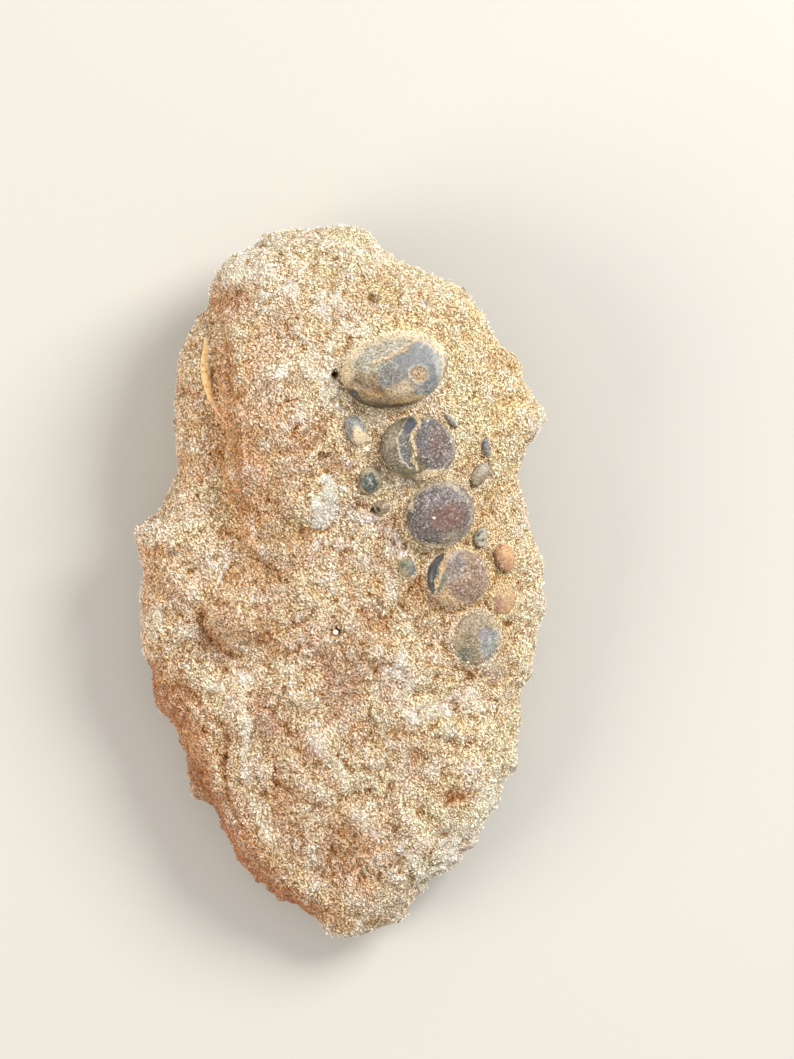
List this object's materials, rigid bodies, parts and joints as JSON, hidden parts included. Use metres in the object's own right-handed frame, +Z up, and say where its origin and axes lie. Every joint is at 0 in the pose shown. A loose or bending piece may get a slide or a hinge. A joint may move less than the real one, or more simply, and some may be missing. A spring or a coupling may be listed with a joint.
{
  "type": "fossil fish mouthplate",
  "caption": "Fossil crushing teeth of a fish in a tapering row, set in a block of grainy pale sandstone that lies on a flat spot.",
  "frame": {"origin": "on the surface that the block rests on, under the middle of its box", "axes": "+Z up, away from the flat spot and out of the toothed face; +Y along the block, towards the biggest tooth; +X towards the side with the row of teeth"},
  "size_m": [0.0686, 0.1193, 0.0353],
  "materials": {
    "sandstone": "coarse, crumbly, matt",
    "enamel_blue_grey": "glossy enamel, part under sand",
    "enamel_cracked": "semi-gloss, cracked",
    "enamel_purple_brown": "worn, semi-gloss",
    "enamel_pink_brown": "worn, satin",
    "enamel_sandy_olive": "half under sand, satin",
    "enamel_pale": "semi-gloss",
    "enamel_slate": "semi-gloss",
    "enamel_grey_brown": "satin",
    "dentine_orange": "worn, matt",
    "fossil_bone": "smooth, satin"
  },
  "bodies": {
    "root": {"matrix": "sandstone", "tooth_main_1": "enamel_blue_grey", "tooth_main_2": "enamel_cracked", "tooth_main_3": "enamel_purple_brown", "tooth_main_4": "enamel_pink_brown", "tooth_main_5": "enamel_sandy_olive", "tooth_left_1": "enamel_pale", "tooth_left_2": "enamel_slate", "tooth_left_3": "enamel_slate", "tooth_left_4": "enamel_slate", "tooth_right_1": "enamel_pale", "tooth_right_2": "enamel_slate", "tooth_right_3": "enamel_grey_brown", "tooth_right_4": "enamel_slate", "tooth_right_5": "dentine_orange", "tooth_right_6": "dentine_orange", "tooth_right_7": "enamel_grey_brown", "bone_sliver": "fossil_bone"}
  },
  "joints": []
}
